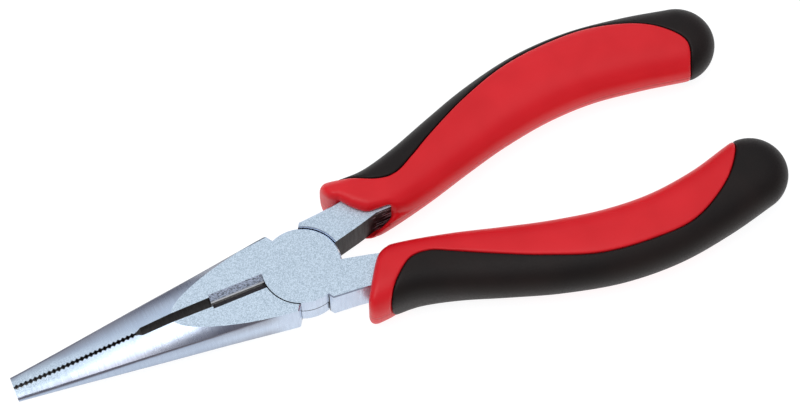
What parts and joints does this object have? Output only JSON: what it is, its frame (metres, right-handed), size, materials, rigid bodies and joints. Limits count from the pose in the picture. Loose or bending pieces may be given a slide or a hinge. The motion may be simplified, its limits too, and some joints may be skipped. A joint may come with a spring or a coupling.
{
  "type": "long-nose pliers",
  "caption": "Long-nose pliers: tapered toothed jaws with side cutter and slot, flat lap joint on a flush rivet, curved two-tone moulded grips.",
  "frame": {"origin": "on the pivot rivet's axis, at the lower flat face of the joint", "axes": "+X towards the jaw tips, +Z along the rivet out of the upper face of the joint, Y across the handles"},
  "size_m": [0.2006, 0.07, 0.0169],
  "materials": {
    "jaw_steel": "sandblasted satin nickel plating, ground on the nose",
    "rivet_steel": "ground flush, satin nickel plating",
    "grip_red": "smooth satin moulded plastic",
    "grip_black": "fine grained soft overmould"
  },
  "bodies": {
    "half_a": {"plier_half_a": "jaw_steel", "pivot_rivet": "rivet_steel", "grip_body_a": "grip_red", "grip_inlay_a": "grip_black"},
    "half_b": {"plier_half_b": "jaw_steel", "grip_body_b": "grip_red", "grip_inlay_b": "grip_black"}
  },
  "joints": [
    {"name": "pivot", "type": "hinge", "parent": "half_a", "child": "half_b", "pos_m": [0, 0, 0.00525], "axis": [0, 0, 1], "range_deg": [0, 40]}
  ]
}
